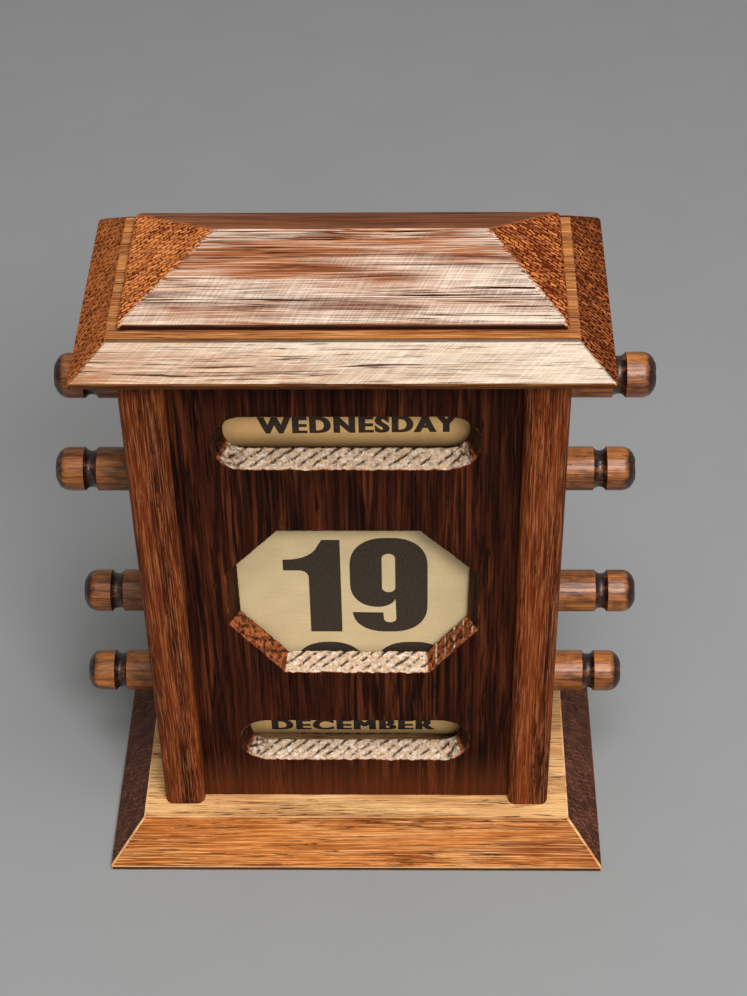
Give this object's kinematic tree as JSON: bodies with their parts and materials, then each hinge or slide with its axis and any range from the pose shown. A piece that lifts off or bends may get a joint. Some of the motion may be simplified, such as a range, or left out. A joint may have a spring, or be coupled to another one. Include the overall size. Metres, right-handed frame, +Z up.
{
  "type": "perpetual desk calendar",
  "caption": "Perpetual desk calendar: hipped-roof wooden case with windows over a day drum, a date linen on rollers and a month drum, each turned by knobs at the sides.",
  "frame": {"origin": "middle of the plinth's underside, which stands on the desk", "axes": "+X to the viewer's right along the rollers, +Y from the windows to the back, +Z up"},
  "size_m": [0.17, 0.086, 0.2083],
  "materials": {
    "warm_oak": "stained and varnished, glossy",
    "mid_oak": "stained and varnished, glossy",
    "dark_oak": "dark stained and varnished",
    "knob_wood": "turned, stained and varnished, glossy",
    "pale_wood": "bare, sanded",
    "linen": "aged printed linen",
    "paper": "aged printed paper",
    "brass": "dull",
    "steel": "dull"
  },
  "bodies": {
    "case": {"base_plinth": "warm_oak", "side_left": "dark_oak", "side_right": "dark_oak", "front_panel": "dark_oak", "post_left": "mid_oak", "post_right": "mid_oak", "back_panel": "dark_oak", "cornice_board": "warm_oak", "roof_cap": "warm_oak", "date_board": "pale_wood", "date_linen": "linen", "base_screws": "steel", "back_screws": "brass", "roof_screws": "steel", "cornice_dowels": "pale_wood"},
    "day_turner": {"day_drum": "pale_wood", "day_band": "paper", "day_knob_left": "knob_wood", "day_knob_right": "knob_wood"},
    "upper_date_turner": {"upper_date_roller": "pale_wood", "upper_date_coil": "linen", "upper_date_knob_left": "knob_wood", "upper_date_knob_right": "knob_wood"},
    "lower_date_turner": {"lower_date_roller": "pale_wood", "lower_date_coil": "linen", "lower_date_knob_left": "knob_wood", "lower_date_knob_right": "knob_wood"},
    "month_turner": {"month_drum": "pale_wood", "month_band": "paper", "month_knob_left": "knob_wood", "month_knob_right": "knob_wood"}
  },
  "joints": [
    {"name": "day_spin", "type": "hinge", "parent": "case", "child": "day_turner", "pos_m": [0, 0.006, 0.15721], "axis": [1, 0, 0], "continuous": true},
    {"name": "upper_date_spin", "type": "hinge", "parent": "case", "child": "upper_date_turner", "pos_m": [0, 0.006, 0.12276], "axis": [1, 0, 0], "range_deg": [-2481, 5109]},
    {"name": "lower_date_spin", "type": "hinge", "parent": "case", "child": "lower_date_turner", "pos_m": [0, 0.006, 0.07365], "axis": [1, 0, 0], "range_deg": [-2800, 5764]},
    {"name": "month_spin", "type": "hinge", "parent": "case", "child": "month_turner", "pos_m": [0, 0.006, 0.0386], "axis": [1, 0, 0], "continuous": true}
  ],
  "couplings": [
    {"joint": "lower_date_spin", "follows": "upper_date_spin", "ratio": 1.1279}
  ]
}
